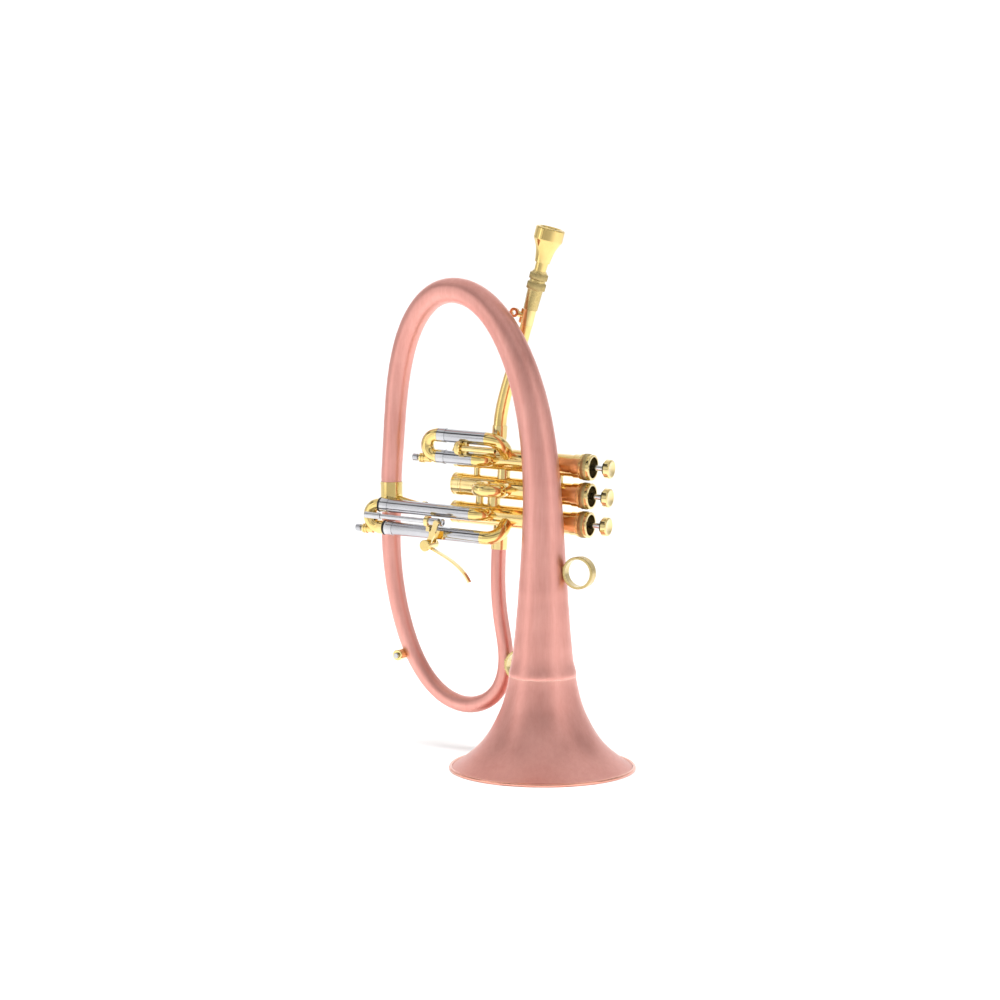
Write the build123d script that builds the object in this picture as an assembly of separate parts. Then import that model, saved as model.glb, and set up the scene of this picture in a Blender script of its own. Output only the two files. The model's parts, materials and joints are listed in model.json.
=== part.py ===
from build123d import *
from math import cos, sin, radians, hypot
import os

# A flugelhorn standing on its bell. The origin is the centre of the bell mouth on
# the floor, +Z runs up the bell axis, +X is the way the valve buttons point and
# -Y is the player's right-hand side. All lengths are in millimetres.

os.makedirs("parts", exist_ok=True)

# ---- bell and copper tube -------------------------------------------------
BELL_R = 76.2            # six inch bell mouth
RIM_WIRE_R = 1.5         # wire rolled into the rim
RIM_LAND = 0.12          # flat worn on the wire where the horn stands
SHEET = 0.6              # copper sheet and tube wall
SEAM_Z = 76.0            # where the flare is brazed to the tail
FLARE = [(67.6, 5.6), (61.4, 10.2), (53.0, 17.6), (46.9, 24.8), (42.3, 31.8),
         (36.9, 42.3), (32.3, 53.6), (29.3, 65.0)]
SEAM_R = 27.3
TUBE_Y = 26.5            # side offset of the far legs of the copper tube
TAIL_X = -153.9          # where the bell tail meets the front bow
TAIL_Z = 216.0
KEY_AT = (-142.0, 80.9)  # water key low on the front bow

# ---- valve block (own frame: x from the bottom caps to the buttons) --------
BLOCK_AT = (-101.0, 31.2, 227.2)
BLOCK_TILT = 2.8
PITCH = 23.5
CASING_R = 9.15
BORE_R = 8.2
PISTON_R = 8.12
PORT_R = 4.75
FOOT = 5.0               # the outer face of the bottom caps
PISTON_FOOT = 33.0
STROKE = 16.0
CAP_FACE = 130.7
CAP_R = 10.65
STEM_R = 2.4
BUTTON_R = 7.8
BUTTON_FACE = 147.1
ROWS = {1: PITCH, 2: 0.0, 3: -PITCH}
AIR_IN = {1: 44.5, 2: 50.0, 3: 42.0}
AIR_OUT = {1: 50.0, 2: 42.0, 3: 48.5}
SLIDE_PORTS = {1: (41.5, 55.5), 2: (38.0, 57.0), 3: (41.5, 57.5)}

# ---- valve slides ----------------------------------------------------------
LEG_Y = -21.2            # legs of slides 1 and 3, in front of the casings
LEG_R = 5.6
LEG_BORE = 5.25
INNER_R = 5.2
CROOK_R = 5.3
LEG1 = (23.6, 41.3)      # lower and upper leg of slide 1
LEG3 = (-21.6, -40.3)    # upper and lower leg of slide 3
SLIDE1_END = -0.5
SLIDE3_ENDS = (-51.9, -46.7)
SLIDE3_BOW = -53.95
KEY_DROP = 2.4           # water keys sit this far below the lower leg

# ---- leadpipe and mouthpiece (own frame: z up the leadpipe) -----------------
LEAD_AT = (-20.9, 31.2, 391.5)
LEAD_TILT = 15.6
TUNING_R = 4.7

# ---- third slide trigger, in the valve block frame --------------------------
ROD_Y = -30.6
ROD_Q = -30.0
ROD_R = 1.95
BARREL_R = 3.2
PIVOT = (1.0, -49.0)
PIN_X = 8.5
LEVER_Y = -37.7
GUIDE_X = (-4.8, -1.6)

CLEAR = 0.03             # gap left between soldered neighbours
SECTION_STEP = 11.0      # spacing of the round sections along a tapered tube

BLOCK = Location(BLOCK_AT, (0, BLOCK_TILT, 0))
LEAD = Location(LEAD_AT, (0, LEAD_TILT, 0))


def world(point):
    """A point of the valve block frame, in the frame of the whole horn."""
    a = radians(BLOCK_TILT)
    x = BLOCK_AT[0] + point[0] * cos(a) + point[2] * sin(a)
    z = BLOCK_AT[2] - point[0] * sin(a) + point[2] * cos(a)
    return (x, BLOCK_AT[1] + point[1], z)


def rod(a, b, r):
    """A round bar from point a to point b."""
    way = Vector(*b) - Vector(*a)
    bar = Cylinder(r, way.length, align=(Align.CENTER, Align.CENTER, Align.MIN))
    return Plane(origin=a, z_dir=way) * bar


def pipe(a, b, r_out, r_in):
    """A straight tube from point a to point b."""
    way = (Vector(*b) - Vector(*a)).normalized()
    start = Vector(*a) - way
    end = Vector(*b) + way
    return rod(a, b, r_out) - rod(tuple(start), tuple(end), r_in)


def bent(path, r):
    """A round bar along a path."""
    return sweep(Plane(origin=path @ 0, z_dir=path % 0) * Circle(r), path=path)


def bent_pipe(path, r_out, r_in):
    """A tube of even bore along a path."""
    return bent(path, r_out) - bent(path, r_in)


def ring_x(x, y, z, r_out, r_in, length):
    """A ring round the x direction, from x to x + length."""
    return pipe((x, y, z), (x + length, y, z), r_out, r_in)


def radius_at(stations, share):
    """The radius at a share of the path, read between the listed stations."""
    for (s0, r0), (s1, r1) in zip(stations, stations[1:]):
        if share <= s1:
            return r0 + (r1 - r0) * (share - s0) / (s1 - s0)
    return stations[-1][1]


def taper(path, stations):
    """A solid of round sections whose radius follows (share of path, radius)."""
    rings = []
    steps = max(8, round(path.length / SECTION_STEP))
    for i in range(steps + 1):
        share = i / steps
        way = path % share
        side = Vector(0, 1, 0) - way * way.Y
        plane = Plane(origin=path @ share, x_dir=side, z_dir=way)
        rings.append(plane * Circle(radius_at(stations, share)))
    return loft(rings)


def taper_pipe(path, stations, wall):
    """A tube of tapering bore along a path."""
    bore = [(share, radius - wall) for share, radius in stations]
    return taper(path, stations) - taper(path, bore)


# ---------------------------------------------------------------- bell ------
def flare_curve(drop):
    """The outline of the flare from mouth to seam, moved inwards by drop."""
    points = [(BELL_R - 2 * RIM_WIRE_R, 2.0)] + FLARE + [(SEAM_R, SEAM_Z)]
    outer = Spline(*points, tangents=[(-1, 0.58), (-0.12, 1)])
    if not drop:
        return outer
    inner = []
    for i in range(17):
        at, way = outer @ (i / 16), outer % (i / 16)
        inner.append((at.X - drop * way.Y, at.Y + drop * way.X))
    return Spline(*inner)


def flare_body():
    """The flare as a full block, used to trim what is soldered to it."""
    edge = flare_curve(0)
    side = Polyline(edge @ 1, (0, SEAM_Z), (0, 1.9), edge @ 0)
    return revolve(Plane.XZ * make_face(edge + side), Axis.Z)


def bell_flare():
    outer = flare_curve(0)
    inner = flare_curve(SHEET)
    face = make_face(outer + Line(outer @ 1, inner @ 1) + inner + Line(inner @ 0, outer @ 0))
    return revolve(Plane.XZ * face, Axis.Z)


def bell_rim_wire():
    """The rolled edge, with the narrow land the horn stands on."""
    centre = (BELL_R - RIM_WIRE_R, RIM_WIRE_R - RIM_LAND)
    wire = revolve(Plane.XZ * Pos(*centre) * Circle(RIM_WIRE_R), Axis.Z)
    below = Pos(0, 0, -5) * Cylinder(BELL_R + 5, 10)
    tip = 3.0
    groove = Pos(0, 0, tip / 2) * Cylinder(BELL_R - 2 * RIM_WIRE_R + CLEAR, tip)
    return wire - below - groove


def stem_path():
    points = [(0.1, 0, SEAM_Z), (0.4, 0, 130), (0.4, 0, 183), (-2.6, 0, 252), (-10.6, 0.8, 296),
              (-26.5, 3.2, 337.7), (-53.2, 8.2, 373), (-70.4, 11.7, 383.6), (-88.1, 15, 387.5),
              (-107.8, 18.6, 383.3), (-124.3, 21.5, 369.5), (-141.4, 25.2, 336), (-149, TUBE_Y, 296),
              (-152.6, TUBE_Y, 250), (TAIL_X, TUBE_Y, 226)]
    bend = Spline(*points, tangents=[(0, 0, 1), (0, 0, -1)])
    return Wire([bend, Line(points[-1], (TAIL_X, TUBE_Y, TAIL_Z))])


STEM_TAPER = [(0, 27.3), (0.02, 25.4), (0.044, 23.7), (0.07, 22.3), (0.098, 21.1), (0.152, 18.9),
              (0.193, 17.5), (0.25, 16.0), (0.32, 14.8), (0.4, 13.7), (0.48, 12.45), (0.52, 11.9),
              (0.56, 11.25), (0.6, 10.75), (0.64, 10.35), (0.68, 10.0), (0.725, 9.8), (0.795, 9.55),
              (0.87, 9.15), (0.95, 8.75), (1, 8.45)]


def bell_stem():
    return taper_pipe(stem_path(), STEM_TAPER, SHEET)


def bow_path():
    end = world((AIR_OUT[3], 0, -46.5))
    points = [(TAIL_X, TUBE_Y, TAIL_Z - 0.1), (TAIL_X, TUBE_Y, 206), (-154.4, TUBE_Y, 182),
              (-151.5, TUBE_Y, 145), (-142.3, TUBE_Y, 105), (-124.4, 27.4, 66.9), (-101.5, 28, 46.1),
              (-79, 28.6, 41.6), (-57, 29.2, 52.8), (-47.9, 29.8, 80), (-52.2, 30.4, 112),
              (-55.5, 30.8, 144), world((AIR_OUT[3], 0, -58)), end]
    return Spline(*points, tangents=[(0, 0, -1), (0.05, 0, 1)])


BOW_TAPER = [(0, 8.1), (0.1, 8.0), (0.16, 7.75), (0.25, 7.5), (0.35, 7.35), (0.42, 7.1),
             (0.52, 6.9), (0.6, 6.75), (0.67, 6.6), (0.745, 6.4), (0.81, 6.25), (1, 6.1)]


def front_bow():
    return taper_pipe(bow_path(), BOW_TAPER, SHEET)


def stem_bar():
    """The bell tail as a full bar, used to trim its neighbours."""
    return taper(stem_path(), [(s, r + CLEAR) for s, r in STEM_TAPER])


def bow_bar():
    """The front bow as a full bar, used to trim its neighbours."""
    return taper(bow_path(), [(s, r + CLEAR) for s, r in BOW_TAPER])


def bell_ferrule():
    """The brass sleeve over the joint of the bell tail and the front bow."""
    x, y, z = TAIL_X, TUBE_Y, TAIL_Z
    body = rod((x, y, z - 6.4), (x, y, z + 10.6), 9.3)
    body = fillet(body.edges().filter_by(GeomType.CIRCLE), 0.3)
    body += rod((x, y, z + 8.6), (x, y, z + 9.8), 9.55)
    body -= rod((x, y, z - 0.05), (x, y, z + 15), 8.85)
    return body - rod((x, y, z - 11), (x, y, z), 8.25)


def tail_ferrule():
    """The brass sleeve that joins the front bow to the third valve."""
    x = AIR_OUT[3]
    sleeve = ring_z(x, 0, -51.0, 6.95, PORT_R, 11.0)
    sleeve += ring_z(x, 0, -40.2, 5.5, PORT_R, 10.0)
    sleeve -= ring_z(x, 0, -53.0, 6.3, 3.0, 6.6)
    return BLOCK * (sleeve - casing_block(3))


def ring_z(x, y, z, r_out, r_in, length):
    """A ring round the z direction, from z to z + length."""
    return pipe((x, y, z), (x, y, z + length), r_out, r_in)


# --------------------------------------------------------- valve block ------
def casing_block(row, gap=CLEAR):
    """The outside of one casing as a full bar, used to trim its neighbours."""
    q = ROWS[row]
    return rod((0, 0, q), (118, 0, q), CASING_R + gap)


def passages(row, r, shift=0.0):
    """The four air ways that meet at one valve, as bars of radius r."""
    q = ROWS[row]
    low, high = SLIDE_PORTS[row]
    bars = rod((AIR_IN[row] + shift, 0, q), (AIR_IN[row] + shift, 0, q + 12), r)
    bars += rod((AIR_OUT[row] + shift, 0, q), (AIR_OUT[row] + shift, 0, q - 12), r)
    for x, lift in zip((low, high), port_lift(row)):
        bars += rod((x + shift, 0, q), (x + shift, -12 * cos(lift), q + 12 * sin(lift)), r)
    return bars


def port_lift(row):
    """How far the way into each slide port leans up or down, in radians."""
    return {1: (0.0, 0.75), 2: (0.0, 0.0), 3: (0.07, -0.7)}[row]


def casing(row):
    q = ROWS[row]
    body = rod((FOOT + 2.3, 0, q), (FOOT + 9.6, 0, q), 8.75)
    body += rod((FOOT + 9.6, 0, q), (115, 0, q), CASING_R)
    body += rod((114.8, 0, q), (120.2, 0, q), 9.85)
    body -= rod((0, 0, q), (125, 0, q), BORE_R)
    body -= rod((115.6, 0, q), (125, 0, q), 9.2)
    return BLOCK * (body - passages(row, PORT_R))


def bottom_cap(row):
    q = ROWS[row]
    body = rod((FOOT, 0, q), (FOOT + 9.5, 0, q), 9.45)
    body = chamfer(body.edges().filter_by(GeomType.CIRCLE), 0.5)
    for x in (1.7, 7.2):
        body -= ring_x(FOOT + x, 0, q, 10, 9.2, 0.6)
    body -= rod((FOOT + 2, 0, q), (FOOT + 12, 0, q), 8.82)
    return BLOCK * (body - rod((FOOT - 1, 0, q), (FOOT + 3, 0, q), 1.6))


def top_cap(row):
    """A heavy dished cap whose nose screws into the casing collar."""
    q = ROWS[row]
    body = rod((120.25, 0, q), (CAP_FACE, 0, q), CAP_R)
    body = fillet(body.edges().filter_by(GeomType.CIRCLE), 0.8)
    body += rod((116, 0, q), (121, 0, q), 9.14)
    for x in (122.2, 127.9):
        body -= ring_x(x, 0, q, 12, CAP_R - 0.3, 0.6)
    body -= rod((122.3, 0, q), (132, 0, q), 8.6)
    body -= rod((115, 0, q), (120.7, 0, q), 8.35)
    return BLOCK * (body - rod((118, 0, q), (124, 0, q), 2.8))


def cap_felt(row):
    q = ROWS[row]
    return BLOCK * ring_x(122.3, 0, q, 8.4, 3.0, 1.2)


def knuckles():
    """The short tubes and spacers that hold the three casings apart."""
    group = []
    for q, x, x0, r0 in ((PITCH / 2, 50.0, 25.3, 2.8), (-PITCH / 2, 42.0, 28.8, 3.4)):
        air = ring_z(x, 0, q - 4, 5.4, PORT_R, 8)
        stay = rod((x0, 0, q - 4), (x0, 0, q + 4), r0)
        middle = rod((72, 0, q - 4), (72, 0, q + 4), 2.0)
        high = rod((x + 52, 0, q - 4), (x + 52, 0, q + 4), 2.0)
        for part in (air, stay, middle, high):
            for row in (1, 2, 3):
                part -= casing_block(row)
            group.append(BLOCK * part)
    return group


def piston(row):
    """A hollow piston with the open air way and the two slide ways through it."""
    q = ROWS[row]
    wall = 0.6
    open_way = [((AIR_IN[row], 0, q + 10), (AIR_IN[row], 0, q + 3)),
                ((AIR_IN[row], 0, q + 3), (AIR_OUT[row], 0, q - 3)),
                ((AIR_OUT[row], 0, q - 3), (AIR_OUT[row], 0, q - 10))]
    bores = rod(*open_way[0], PORT_R) + rod(*open_way[1], PORT_R) + rod(*open_way[2], PORT_R)
    walls = rod(*open_way[0], PORT_R + wall) + rod(*open_way[1], PORT_R + wall)
    walls += rod(*open_way[2], PORT_R + wall)
    bores += passages(row, PORT_R - 0.25, STROKE)
    walls += passages(row, PORT_R - 0.25 + wall, STROKE)
    body = rod((PISTON_FOOT, 0, q), (118.4, 0, q), PISTON_R)
    cavity = rod((PISTON_FOOT + 1, 0, q), (116.4, 0, q), PISTON_R - 0.9) - walls
    body -= cavity
    body -= bores
    body -= rod((PISTON_FOOT - 1, 0, q), (PISTON_FOOT + 3, 0, q), 1.5)
    body -= rod((115, 0, q), (120, 0, q), STEM_R + 0.02)
    return BLOCK * body


def stem(row):
    q = ROWS[row]
    bar = rod((116.6, 0, q), (BUTTON_FACE - 4.4, 0, q), STEM_R)
    bar += rod((118.45, 0, q), (119.3, 0, q), 4.4)
    return BLOCK * bar


def stem_felt(row):
    q = ROWS[row]
    return BLOCK * ring_x(119.35, 0, q, 6.6, STEM_R + 0.2, 1.0)


def button(row):
    """A bevelled finger button with a shallow dish for the fingertip."""
    q = ROWS[row]
    back = BUTTON_FACE - 6.4
    body = rod((back, 0, q), (BUTTON_FACE, 0, q), BUTTON_R)
    body = chamfer(body.edges().filter_by(GeomType.CIRCLE).sort_by(Axis.X)[0], 1.7)
    body = fillet(body.edges().filter_by(GeomType.CIRCLE).sort_by(Axis.X)[-1], 1.3)
    body -= Pos(BUTTON_FACE + 27.3, 0, q) * Sphere(28)
    return BLOCK * (body - rod((back - 1, 0, q), (back + 2.1, 0, q), STEM_R + 0.02))


def spring(row):
    q = ROWS[row]
    coil = Helix(pitch=4.1, height=24.6, radius=5.4)
    wire = sweep(Plane(origin=coil @ 0, z_dir=coil % 0) * Circle(0.45), path=coil)
    return BLOCK * (Location((FOOT + 2.6, 0, q), (0, 90, 0)) * wire)


# ------------------------------------------------ slides 1, 2 and 3 --------
def leg_bar(legs, gap=CLEAR):
    """Both legs of a slide as full bars, used to trim their neighbours."""
    bars = [rod((-60, LEG_Y, q), (40, LEG_Y, q), LEG_R + gap) for q in legs]
    return bars[0] + bars[1]


def outer_leg(x0, x1, q):
    """An outer slide tube with its thicker end ring."""
    tube = ring_x(x0, LEG_Y, q, LEG_R, LEG_BORE, x1 - x0)
    return BLOCK * (tube + ring_x(x0, LEG_Y, q, LEG_R + 0.4, LEG_BORE, 7.0))


def elbow(x0, q0, x1, row, r):
    """A tube from the end of a slide leg, round a bend and into a casing."""
    target = Vector(x1, 0, ROWS[row])
    corner = Vector(x1, LEG_Y, q0)
    end = target + (corner - target).normalized() * (CASING_R - 1.5)
    path = FilletPolyline((x0, LEG_Y, q0), tuple(corner), tuple(end), radius=r)
    tube = bent_pipe(path, CROOK_R + 0.3, PORT_R)
    for other in (1, 2, 3):
        tube -= casing_block(other)
    return BLOCK * tube


def slide1_outer_tubes():
    return [outer_leg(SLIDE1_END, 32.5, LEG1[0]), outer_leg(SLIDE1_END, 43.0, LEG1[1])]


def slide1_elbows():
    low = elbow(32.55, LEG1[0], SLIDE_PORTS[1][0], 1, 8.8)
    high = elbow(43.05, LEG1[1], SLIDE_PORTS[1][1], 1, 12.0)
    return [low, high]


def slide3_outer_tubes():
    return [outer_leg(SLIDE3_ENDS[0], 31.8, LEG3[0]), outer_leg(SLIDE3_ENDS[1], 42.3, LEG3[1])]


def slide3_elbows():
    high = elbow(31.85, LEG3[0], SLIDE_PORTS[3][0], 3, 9.0)
    low = elbow(42.35, LEG3[1], SLIDE_PORTS[3][1], 3, 12.0)
    return [high, low]


def inner_tubes(x0, x1, legs):
    return [BLOCK * ring_x(x0, LEG_Y, q, INNER_R, PORT_R, x1 - x0) for q in legs]


def u_path(x, legs):
    """The centre line of a U bow that opens towards +x at x."""
    low, high = sorted(legs)
    middle = (x - (high - low) / 2, LEG_Y, (low + high) / 2)
    return ThreePointArc((x, LEG_Y, low), middle, (x, LEG_Y, high))


def u_bow(x, collars):
    """A U bow with a ferrule of the given length on each leg."""
    tube = bent_pipe(u_path(x, collars), CROOK_R, PORT_R)
    for q, length in collars.items():
        if length:
            tube += ring_x(x - 0.1, LEG_Y, q, LEG_R + 0.2, INNER_R + 0.05, length)
    return BLOCK * tube


BOW1_X = SLIDE1_END - 1.8
BOW3_X = SLIDE3_BOW


def key_body(x, legs):
    """The barrel of a push-button water key on the lower corner of a bow."""
    q = min(legs) - KEY_DROP
    body = rod((x - 15.0, LEG_Y, q), (x - 5.0, LEG_Y, q), 3.3)
    body += ring_x(x - 14.7, LEG_Y, q, 4.0, 2.0, 1.6) + ring_x(x - 12.2, LEG_Y, q, 4.0, 2.0, 1.4)
    body -= bent(u_path(x, legs), CROOK_R + CLEAR)
    keep = max(body.solids(), key=lambda s: s.volume)
    return BLOCK * (keep - rod((x - 18, LEG_Y, q), (x - 11.4, LEG_Y, q), 1.75))


def key_button(x, legs):
    """The sprung button of a water key, a cap on a thin pin."""
    q = min(legs) - KEY_DROP
    cap = rod((x - 21.6, LEG_Y, q), (x - 16.8, LEG_Y, q), 3.0)
    cap = fillet(cap.edges().filter_by(GeomType.CIRCLE), 0.6)
    return BLOCK * (cap + rod((x - 17, LEG_Y, q), (x - 13.2, LEG_Y, q), 1.6))


def bumper_rings():
    """The two black rings that quiet the return of the third slide."""
    rings = []
    for q, end in zip(LEG3, SLIDE3_ENDS):
        ring = ring_x(end - 1.95, LEG_Y, q, 6.2, INNER_R + 0.03, 1.6)
        rings.append(BLOCK * fillet(ring.edges().filter_by(GeomType.CIRCLE).sort_by(SortBy.RADIUS)[-2:], 0.5))
    return rings


def slide2_outer_tubes():
    group = []
    for x in SLIDE_PORTS[2]:
        tube = pipe((x, -19.0, 0), (x, -7.5, 0), LEG_R, LEG_BORE)
        tube += pipe((x, -19.0, 0), (x, -16.5, 0), LEG_R + 0.4, LEG_BORE)
        group.append(BLOCK * (tube - casing_block(2)))
    return group


def slide2_inner_tubes():
    return [BLOCK * pipe((x, -20.75, 0), (x, -9.6, 0), INNER_R, PORT_R) for x in SLIDE_PORTS[2]]


def slide2_bow():
    x0, x1 = SLIDE_PORTS[2]
    y = -20.8
    path = ThreePointArc((x0, y, 0), ((x0 + x1) / 2, y - (x1 - x0) / 2, 0), (x1, y, 0))
    tube = bent_pipe(path, CROOK_R, PORT_R)
    for x in SLIDE_PORTS[2]:
        tube += pipe((x, y - 0.1, 0), (x, y + 1.4, 0), LEG_R + 0.2, INNER_R + 0.05)
    return BLOCK * tube


# ---------------------------------------------- third slide trigger ---------
def rod_clamp():
    """The sleeve brazed on the front of the third slide bow."""
    body = rod((BOW3_X - 8.4, ROD_Y, ROD_Q), (BOW3_X + 6.2, ROD_Y, ROD_Q), 2.8)
    body += Pos(BOW3_X - 5.4, (ROD_Y - 22) / 2, ROD_Q) * Box(5.6, -22 - ROD_Y, 3.6)
    body -= bent(u_path(BOW3_X, LEG3), CROOK_R + CLEAR)
    body -= rod((BOW3_X - 4, ROD_Y, ROD_Q), (BOW3_X + 8, ROD_Y, ROD_Q), ROD_R + CLEAR)
    return BLOCK * max(body.solids(), key=lambda s: s.volume)


def push_rod():
    return BLOCK * rod((BOW3_X - 3.9, ROD_Y, ROD_Q), (3.0, ROD_Y, ROD_Q), ROD_R)


def rod_guide():
    """The fixed ring that the rod barrel slides through, on a foot."""
    x0, x1 = GUIDE_X
    body = ring_x(x0, ROD_Y, ROD_Q, 4.7, BARREL_R + 0.08, x1 - x0)
    body = body + Pos((x0 + x1) / 2, -27.6, -35.6) * Box(x1 - x0, 5.2, 6.0)
    body -= rod((x0 - 1, ROD_Y, ROD_Q), (x1 + 1, ROD_Y, ROD_Q), BARREL_R + 0.08)
    body -= leg_bar(LEG3)
    return BLOCK * max(body.solids(), key=lambda s: s.volume)


def rod_barrel():
    """The adjustable end of the push rod, slotted for the lever pin."""
    x0, x1 = -5.6, 11.6
    body = rod((x0, ROD_Y, ROD_Q), (x1, ROD_Y, ROD_Q), BARREL_R)
    body = chamfer(body.edges().filter_by(GeomType.CIRCLE), 0.3)
    body -= rod((x0 - 1, ROD_Y, ROD_Q), (3.2, ROD_Y, ROD_Q), ROD_R + CLEAR)
    body -= rod((x1 - 0.8, ROD_Y, ROD_Q), (x1 + 1, ROD_Y, ROD_Q), 2.2)
    return BLOCK * (body - Pos(PIN_X, ROD_Y - 3.0, ROD_Q + 1.4) * Box(3.4, 6.0, 8.2))


def trigger_lever():
    """The lever: a flat arm with the pin, and a long strip for the finger."""
    px, pq = PIVOT
    y0, y1 = LEVER_Y - 1.1, LEVER_Y + 1.1
    hub = rod((px, y0, pq), (px, -32.8, pq), 4.3)
    pin = rod((PIN_X, LEVER_Y, ROD_Q), (PIN_X, ROD_Y - 1.0, ROD_Q), 1.2)
    eye = rod((PIN_X, y0, ROD_Q), (PIN_X, y1, ROD_Q), 2.4)
    arm = Spline((px, LEVER_Y, pq), (px + 4.4, LEVER_Y, pq + 9), (PIN_X, LEVER_Y, ROD_Q))
    plane = Plane(origin=arm @ 0, x_dir=(0, 1, 0), z_dir=arm % 0)
    bar = hub + pin + eye + sweep(plane * Rectangle(2.2, 4.4), path=arm)
    y = -35.4
    strip = Spline((px + 3.0, y, pq - 2.4), (px + 16, y, pq - 8.1), (px + 29, y, pq - 15.6),
                   (px + 39.4, y, pq - 27.2))
    plane = Plane(origin=strip @ 0, x_dir=(0, 1, 0), z_dir=strip % 0)
    bar += sweep(plane * Rectangle(4.2, 1.5), path=strip)
    return BLOCK * (bar - rod((px, -30, pq), (px, -44, pq), 1.68))


def trigger_bracket():
    """The bracket on the lower outer leg that carries the lever pivot."""
    px, pq = PIVOT
    foot = Pos(px + 5, -25.6, LEG3[1] - 0.5) * Box(10, 6.4, 7)
    arm = Pos(px, -27.7, (pq + LEG3[1]) / 2) * Box(7, 2.2, LEG3[1] - pq + 3)
    boss = rod((px, -32.2, pq), (px, -24.5, pq), 3.9)
    body = foot + arm + boss - leg_bar(LEG3)
    return BLOCK * (body - rod((px, -23, pq), (px, -36, pq), 1.62))


def trigger_pivot_screw():
    """The pivot screw with its round knob."""
    px, pq = PIVOT
    shaft = rod((px, -38, pq), (px, -25.0, pq), 1.6)
    knob = rod((px, LEVER_Y - 5.0, pq), (px, LEVER_Y - 1.6, pq), 4.8)
    knob = chamfer(knob.edges().filter_by(GeomType.CIRCLE), 0.6)
    return BLOCK * (shaft + knob)


# ------------------------------------------------- leadpipe, mouthpiece -----
def lead(z):
    a = radians(LEAD_TILT)
    return (LEAD_AT[0] + z * sin(a), LEAD_AT[1], LEAD_AT[2] + z * cos(a))


def leadpipe_path():
    foot = world((44.5, 0, 50.8))
    up = (sin(radians(BLOCK_TILT)), 0, cos(radians(BLOCK_TILT)))
    slope = (sin(radians(LEAD_TILT)), 0, cos(radians(LEAD_TILT)))
    y = LEAD_AT[1]
    return Spline(foot, (-50.7, y, 296), (-43.4, y, 320), lead(-33.2), tangents=[up, slope])


LEAD_TAPER = [(0, 5.5), (0.3, 5.4), (0.6, 5.2), (0.85, 5.05), (1, 5.0)]


def leadpipe():
    return taper_pipe(leadpipe_path(), LEAD_TAPER, 0.55)


def leadpipe_ferrule():
    sleeve = ring_z(44.5, 0, 42.0, 6.3, 5.62, 9.5)
    sleeve += ring_z(44.5, 0, 30.5, 6.0, PORT_R, 12.0)
    seat = ring_z(44.5, 0, 50.7, 5.65, 4.0, 2.0)
    return BLOCK * (sleeve - seat - casing_block(1))


def leadpipe_sleeve():
    """The outer sleeve of the pitch adjustment, with its lock screw pad."""
    tube = pipe((0, 0, -33.1), (0, 0, -20.4), 5.25, TUNING_R + 0.05)
    pad = Pos(-5.4, 0, -26.8) * Box(2.4, 4.4, 12) + rod((-5, 0, -26.5), (-8.6, 0, -26.5), 2.6)
    tube += pad - rod((0, 0, -40), (0, 0, -10), 5.0)
    return LEAD * (tube - rod((-4, 0, -26.5), (-12, 0, -26.5), 1.28))


def lock_screw():
    """The screw with a ring head that holds the pitch adjustment."""
    shank = rod((-6.2, 0, -26.5), (-10.0, 0, -26.5), 1.25)
    head = rod((-13.2, -1.4, -26.5), (-13.2, 1.4, -26.5), 4.0)
    head -= rod((-13.2, -2, -26.5), (-13.2, 2, -26.5), 1.8)
    return LEAD * (shank + head)


def mouthpiece_receiver():
    """The receiver with its two rings and the tuning tube below it."""
    body = Pos(0, 0, -11.8) * Cone(5.9, 6.4, 16.4)
    body += rod((0, 0, -3.7), (0, 0, 11.0), 6.6) + rod((0, 0, 10.9), (0, 0, 12.2), 5.9)
    for z0, z1, r in ((-3.6, 3.0, 7.5), (4.9, 10.6, 7.3)):
        ring = rod((0, 0, z0), (0, 0, z1), r)
        ring = chamfer(ring.edges().filter_by(GeomType.CIRCLE), 0.4)
        body += ring
    body += rod((0, 0, -32.4), (0, 0, -19.5), TUNING_R)
    body -= rod((0, 0, -34), (0, 0, 0), 4.25)
    socket = Pos(0, 0, -0.9) * Cone(4.49, 5.03, 27.2)
    return LEAD * (body - socket)


def mouthpiece():
    """Rim band, cup, shoulder, neck and tapered shank, turned from one bar."""
    cup_side = Spline((6.3, 19.4), (6.8, 23.5), (8.7, 31.6), (11.2, 36.7), (11.9, 37.9))
    cup = Spline((8.2, 46.1), (8.0, 41.5), (6.5, 32.5), (2.3, 23.0),
                 tangents=[(-0.02, -1), (-0.2, -1)])
    rim = Spline((12.1, 47.1), (11.5, 48.1), (10.0, 48.5), (8.7, 47.8), (8.2, 46.1))
    parts = [Line((3.8, -14.0), (4.45, -14.0)), Line((4.45, -14.0), (4.98, 12.5)),
             Line((4.98, 12.5), (5.1, 19.4)), Line((5.1, 19.4), (6.3, 19.4)), cup_side,
             Line((11.9, 37.9), (12.1, 38.7)), Line((12.1, 38.7), (12.1, 47.1)), rim, cup,
             Line((2.3, 23.0), (2.3, 18.0)), Line((2.3, 18.0), (3.8, -14.0))]
    return LEAD * revolve(Plane.XZ * make_face(Wire(parts)), Axis.Z)


# ------------------------------------------------------ rings and stays -----
def finger_ring(x, y, z):
    band = rod((x, y - 4.2, z), (x, y + 4.2, z), 13.2)
    band = fillet(band.edges().filter_by(GeomType.CIRCLE), 0.6)
    return band - rod((x, y - 6, z), (x, y + 6, z), 11.0)


def pinky_ring():
    """The finger ring on the bell, standing on a small saddle."""
    ring = finger_ring(32.4, 0, 162)
    foot = Pos(19.4, 0, 162) * Box(3.2, 6.0, 9.0) - rod((32.4, -5, 162), (32.4, 5, 162), 12.6)
    body = ring + foot - stem_bar()
    return max(body.solids(), key=lambda s: s.volume)


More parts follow.
